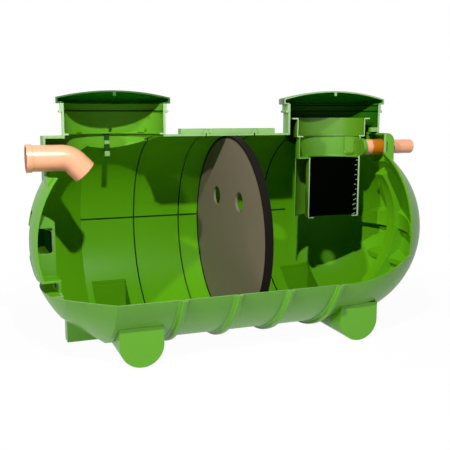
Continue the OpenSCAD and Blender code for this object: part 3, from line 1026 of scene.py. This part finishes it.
@dataclass
class EndTrim:
    """Trim at the ends: the outlet block's cut band and a dark strip of painted shade on it, and a dark sheet of
    painted shade in the inlet recess.

    Attributes:
        pale: finish of the band.
        dark: finish of that strip and that sheet, painted as shade.
        before: how far front and back of band and slot stand before the block's cut face.
        soften: bevel on their edges.
        band: start and end from the block's inner face, and foot and head down from its top.
        slot: the same for the dark strip.
        recess_walls: x of the dark sheet's side wall and of the far end of its back wall.
        recess_back: y where the side wall starts and where the back wall lies.
        recess_rise: z of its foot and head.
        recess_thick: its thickness.
    """

    pale: Finish = Finish("cut band", Slot.SHELL, (0.22, 0.37, 0.14), rough=0.5, specular=0.3)
    dark: Finish = Finish("painted shade dark", Slot.SHELL, PAINTED_SHADE_GREEN, rough=0.8, specular=0.0)
    before: Pair = (0.0012, 0.0001)
    soften: float = 0.0003
    band: tuple[Pair, Pair] = ((0.0004, 0.017), (0.135, 0.006))
    slot: tuple[Pair, Pair] = ((0.023, 0.028), (0.128, 0.058))
    recess_walls: Pair = (-1.181, -1.232)
    recess_back: Pair = (0.020, 0.384)
    recess_rise: Pair = (-0.150, 0.056)
    recess_thick: float = 0.0015

    def recess(self) -> None:
        """Puts a dark sheet in the eye of the inlet recess as painted shade, where the recess stays in the dark."""
        (wall, far), (near, back), thick = self.recess_walls, self.recess_back, self.recess_thick
        foot, head = self.recess_rise
        plan = [(wall, near), (wall, back), (far, back), (far, back - thick), (wall - thick, back - thick),
                (wall - thick, near)]
        prism("recess_shade_sheet", self.dark, [from_middle((x, y, foot)) for x, y in plan],
              Vector((0.0, 0.0, head - foot)))

    def build(self) -> None:
        """Adds the trim."""
        for name, finish, (along, down) in (("outlet_block_band", self.pale, self.band),
                                            ("outlet_block_shade_strip", self.dark, self.slot)):
            strip(name, finish, "outlet_block", along, self.before, down, self.soften)
        self.recess()


@dataclass
class Partition:
    """The round panel across the barrel with its rubber seal.

    Attributes:
        panel: finish of the panel.
        rubber: finish of the seal.
    """

    panel: Finish = Finish("panel grey", Slot.PARTITION, (0.135, 0.108, 0.072), rough=0.6, drift=0.1, specular=0.25)
    rubber: Finish = Finish("black rubber", Slot.SEAL, (0.006, 0.005, 0.004), rough=0.8, drift=0.2, specular=0.05)

    def build(self) -> None:
        """Dresses the panel and its seal."""
        dress(self.panel, "partition")
        dress(self.rubber, "partition_seal")


@dataclass
class Filter:
    """The filter hanging in the outlet turret.

    Heights at its outlet side are measured from the outlet pipe's axis.

    Attributes:
        plastic: finish of the cup and basket.
        body_green: colour of the body.
        medium: finish of the medium.
        body_r: outer radius of the body.
        skin: its wall.
        skirt_gap: depth over which its skirt is open beside the basket.
        skirt_clear: gap between that opening and the basket, along and up.
        past: how far the opening's cutter reaches past the body.
        lip: finish of the perforation lips, pale as painted light showing through the holes.
        lip_columns: name, distance from the basket's far side, count and height of each column.
        lip_before: how far the lips lie before the section.
        lip_pitch: height from one lip to the next.
        lip_aside: how far every second lip is set aside.
        lip_bead: radius of their bead.
        plate: the plate before the outlet.
        shade: finish of a dark plate painted as the small slot's shade.
        notch: where that plate lies.
        mouth_r: radius of the plate in the spigot's mouth.
        mouth_in: how far it lies inside the body's outer side.
        mouth_thick: its thickness.
        recess: finish of the moulded recess.
        recess_face: its face.
        rim_in: how far its rim lies inside the bore.
        rim_turn: height at which the rim turns round the foot.
        rim_sag: how far it sags below that.
        rim_bead: its radius.
    """

    plastic: Finish = Finish("filter green", Slot.FILTER, (0.075, 0.21, 0.006), sawn=(0.36, 0.50, 0.28), rough=0.35)
    body_green: Colour = (0.085, 0.26, 0.012)
    medium: Finish = Finish("black medium", Slot.MEDIA, (0.0006, 0.001, 0.0006), rough=0.7, drift=0.4,
                            drift_scale=90.0, grain=0.004, fine=120.0, specular=0.0)
    body_r: float = 0.241
    skin: float = 0.006
    skirt_gap: float = 0.105
    skirt_clear: Pair = (0.004, 0.0004)
    past: float = 0.02
    lip: Finish = Finish("perforation light lips", Slot.FILTER, (0.20, 0.32, 0.16), rough=0.5, specular=0.2)
    lip_columns: tuple[tuple[str, float, int, float], ...] = (
        ("perforations_side", 0.0245, 13, 0.016), ("perforations_low", 0.036, 5, 0.010))
    lip_before: float = 0.0014
    lip_pitch: float = 0.0345
    lip_aside: float = 0.008
    lip_bead: float = 0.0021
    plate: Bend = Bend(depth=(0.0002, 0.0018), span=(0.3, 17.0), rise=(-0.060, 0.060))
    shade: Finish = Finish("slot shade", Slot.FILTER, PAINTED_SHADE_GREEN, rough=0.7, specular=0.1)
    notch: Bend = Bend(depth=(0.0022, 0.0032), span=(12.6, 15.6), rise=(0.020, 0.040))
    mouth_r: float = 0.0608
    mouth_in: float = 0.0044
    mouth_thick: float = 0.0016
    recess: Finish = Finish("recess green", Slot.FILTER, (0.11, 0.28, 0.025), rough=0.4, specular=0.4)
    recess_face: Bend = Bend(depth=(0.0019, 0.0031), span=(14.5, 35.0), rise=(-0.044, 0.072))
    rim_in: float = 0.0018
    rim_turn: float = -0.028
    rim_sag: float = 0.026
    rim_bead: float = 0.0055

    def body(self) -> None:
        """Dresses the body and opens its skirt beside the basket."""
        low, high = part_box("filter_body")
        basket_low, basket_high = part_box("filter_basket")
        green = replace(self.plastic, name="body green", colour=self.body_green,
                        sawn_from=(low[0] + high[0]) / 2)
        carved("filter_body_dressed", green, "filter_body", tuple(v - self.past for v in low),
               (basket_low[0] - self.skirt_clear[0], SECTION.middle + self.skirt_gap,
                basket_high[2] - self.skirt_clear[1]))

    def perforations(self) -> None:
        """Lays the pale lips of the perforations along the cut side of the basket, as painted light showing through
        them.
        """
        low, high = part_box("filter_basket")
        shared = {"Y": SECTION.middle - self.lip_before, "Pitch": self.lip_pitch, "Aside": self.lip_aside,
                  "Bead": self.lip_bead}
        tree = perforation_tree(self.lip)
        for name, across, count, rise in self.lip_columns:
            bake(name, self.lip, tree, {**shared, "X": high[0] - across, "Z": low[2] + rise, "Count": count})

    def outlet_side(self) -> None:
        """Adds the plates, a dark plate painted as the small slot's shade, and the moulded recess at the outlet side of
        the body.
        """
        pipe_low, pipe_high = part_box("outlet_pipe")
        axis = Vector((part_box("filter_body")[0][0] + self.body_r, SECTION.middle, (pipe_low[2] + pipe_high[2]) / 2))
        bore = self.body_r - self.skin
        bent_plate("outlet_plate", self.plastic, axis, bore, self.plate)
        bent_plate("outlet_slot_shade", self.shade, axis, bore, self.notch)
        mouth = axis + Vector((self.body_r - self.mouth_in, 0.0, 0.0))
        outline = [mouth + Vector((0.0, math.cos(turn), math.sin(turn))) * self.mouth_r for turn in turns(math.tau, 48)]
        prism("spigot_plate", self.plastic, outline[:-1], Vector((self.mouth_thick, 0.0, 0.0)))
        sweep("body_recess_rim", self.plastic, self.rim(axis, bore - self.rim_in), self.rim_bead)
        bent_plate("body_recess_face", self.recess, axis, bore, self.recess_face)

    def rim(self, axis: Vector, r: float) -> list[Vector]:
        """Draws the rim of the recess, down one side, round its foot and up the other.

        Args:
            axis: where the body's and the outlet pipe's axes meet.
            r: distance of the rim from the body's axis.

        Returns:
            Points of the rim.
        """
        (right, left), (_, head) = self.recess_face.span, self.recess_face.rise
        middle, half = (left + right) / 2, (left - right) / 2
        foot = [(middle + half * math.cos(turn), self.rim_turn - self.rim_sag * math.sin(turn))
                for turn in turns(math.pi, 24)]
        return [axis + Vector((r * math.cos(math.radians(a)), r * math.sin(math.radians(a)), z))
                for a, z in [(left, head), *foot, (right, head)]]

    def build(self) -> None:
        """Dresses the filter and adds its fine parts."""
        dress(self.plastic, "filter_cup", "filter_basket")
        dress(self.medium, "filter_media")
        self.body()
        self.perforations()
        self.outlet_side()


# -------- studio

@dataclass
class Studio:
    """Floor, lamps, surround and camera. Places are offsets from the middle of the barrel.

    Attributes:
        key_at: place of the near lamp.
        key_power: its watts.
        key_radius: its radius.
        side_travel: where the far lamp's light goes.
        side_power: its strength.
        side_spread: its angle in radians.
        fill: strength of the even fill.
        floor_half: half the floor's width.
        floor_glow: share of plain white in the floor near the tank.
        fade: distances between which that share rises to 1.
        camera_at: place of the camera.
        camera_tilt: degrees that it looks down.
        camera_turn: degrees that it is turned.
        lens: focal length in millimetres.
        shift: lens shift.
    """

    key_at: Point = (-1.05, -2.70, 2.90)
    key_power: float = 750.0
    key_radius: float = 0.05
    side_travel: Point = (1.57, 1.0, -0.87)
    side_power: float = 1.6
    side_spread: float = 0.03
    fill: float = 0.015
    floor_half: float = 60.0
    floor_glow: float = 0.97
    fade: Pair = (1.6, 3.0)
    camera_at: Point = (-1.681, -4.274, 0.783)
    camera_tilt: float = 9.01
    camera_turn: float = -20.12
    lens: float = 55.296
    shift: Pair = (0.0238, -0.005)

    def floor_white(self) -> Material:
        """Makes a floor that looks white and keeps the tank's shadow.

        Returns:
            The material.
        """
        made = bpy.data.materials.new("white floor")
        made.use_nodes = True
        tree = Wiring(made.node_tree)
        shader = made.node_tree.nodes["Principled BSDF"]
        tree.feed(shader, {"Base Color": (0.8, 0.8, 0.8, 1.0), "Roughness": 0.9, "Specular IOR Level": 0.0})
        glow = tree.node("ShaderNodeEmission", {"Strength": 1.0})
        where = tree.node("ShaderNodeTexCoord")
        reach = tree.node("ShaderNodeVectorMath", {0: where.outputs["Object"]}, operation="LENGTH")
        share = tree.node("ShaderNodeMapRange", {0: reach.outputs["Value"], 1: self.fade[0], 2: self.fade[1],
                                                 3: self.floor_glow, 4: 1.0})
        shown = tree.math("MULTIPLY", tree.seen("Is Camera Ray", "Is Glossy Ray"), share.outputs[0])
        mix = tree.node("ShaderNodeMixShader", {0: shown, 1: shader.outputs[0], 2: glow.outputs[0]})
        tree.feed(made.node_tree.nodes["Material Output"], {"Surface": mix.outputs[0]})
        return made

    def floor(self) -> None:
        """Lays the floor."""
        h = self.floor_half
        mesh = bpy.data.meshes.new("floor")
        mesh.from_pydata([(-h, -h, 0), (h, -h, 0), (h, h, 0), (-h, h, 0)], [], [(0, 1, 2, 3)])
        mesh.materials.append(self.floor_white())
        linked("floor", mesh)

    def world(self) -> None:
        """Sets a white surround in view and in reflections, and a low even fill elsewhere."""
        made = bpy.data.worlds.new("surround")
        bpy.context.scene.world = made
        made.use_nodes = True
        tree = Wiring(made.node_tree)
        seen = tree.seen("Is Camera Ray", "Is Glossy Ray", "Is Transmission Ray")
        level = tree.math("MULTIPLY_ADD", seen, 1.0 - self.fill, self.fill)
        tree.feed(made.node_tree.nodes["Background"], {"Color": (1.0, 1.0, 1.0, 1.0), "Strength": level})

    def lamps(self) -> None:
        """Sets a near lamp before the open side and a far one at the inlet side."""
        near = bpy.data.lights.new("key", "POINT")
        near.energy, near.shadow_soft_size = self.key_power, self.key_radius
        linked("key", near).location = from_middle(self.key_at)
        far = bpy.data.lights.new("side", "SUN")
        far.energy, far.angle = self.side_power, self.side_spread
        linked("side", far).rotation_euler = Vector(self.side_travel).to_track_quat("-Z", "Y").to_euler()

    def camera(self) -> None:
        """Sets the camera before the open side, a little above the middle."""
        data = bpy.data.cameras.new("camera")
        data.sensor_width, data.lens = 36.0, self.lens
        data.shift_x, data.shift_y = self.shift
        made = linked("camera", data)
        made.location = from_middle(self.camera_at)
        made.rotation_euler = (math.radians(90 - self.camera_tilt), 0.0, math.radians(self.camera_turn))
        bpy.context.scene.camera = made

    def build(self) -> None:
        """Sets up the whole studio."""
        self.floor()
        self.world()
        self.lamps()
        self.camera()
        bpy.context.scene.view_settings.view_transform = "Standard"


def main() -> None:
    """Builds every sub-assembly in order."""
    logging.basicConfig(level=logging.INFO, format="%(name)s %(message)s")
    log.info("section at y %.5f and %.5f, edge at z %.5f", SECTION.middle, SECTION.strip, SECTION.edge)
    # The lids' undersides are painted lighter than their outer faces, as the light that reaches under them.
    dark_lid = Finish("dark lid green", Slot.LID, (0.016, 0.09, 0.003), rough=0.35, inner=(0.012, 0.20, 0.004),
                      inner_specular=0.04)
    pale_lid = replace(dark_lid, name="lid green", sawn=(0.20, 0.34, 0.14))
    # The inlet turret's inner side is painted light, the outlet turret's painted dark as shade.
    for part in (Barrel(), Turret("inlet", dark_lid, inner=(0.095, 0.29, 0.014)),
                 # the outlet collar's second dark ring is painted shade under the lid's seat
                 Turret("outlet", pale_lid, inner=(0.012, 0.09, 0.002), seals=2),
                 Strap(), Pipework(), EndTrim(), Partition(), Filter(), Studio()):
        part.build()
        log.info("built %s", type(part).__name__)


if __name__ == "__main__":
    main()
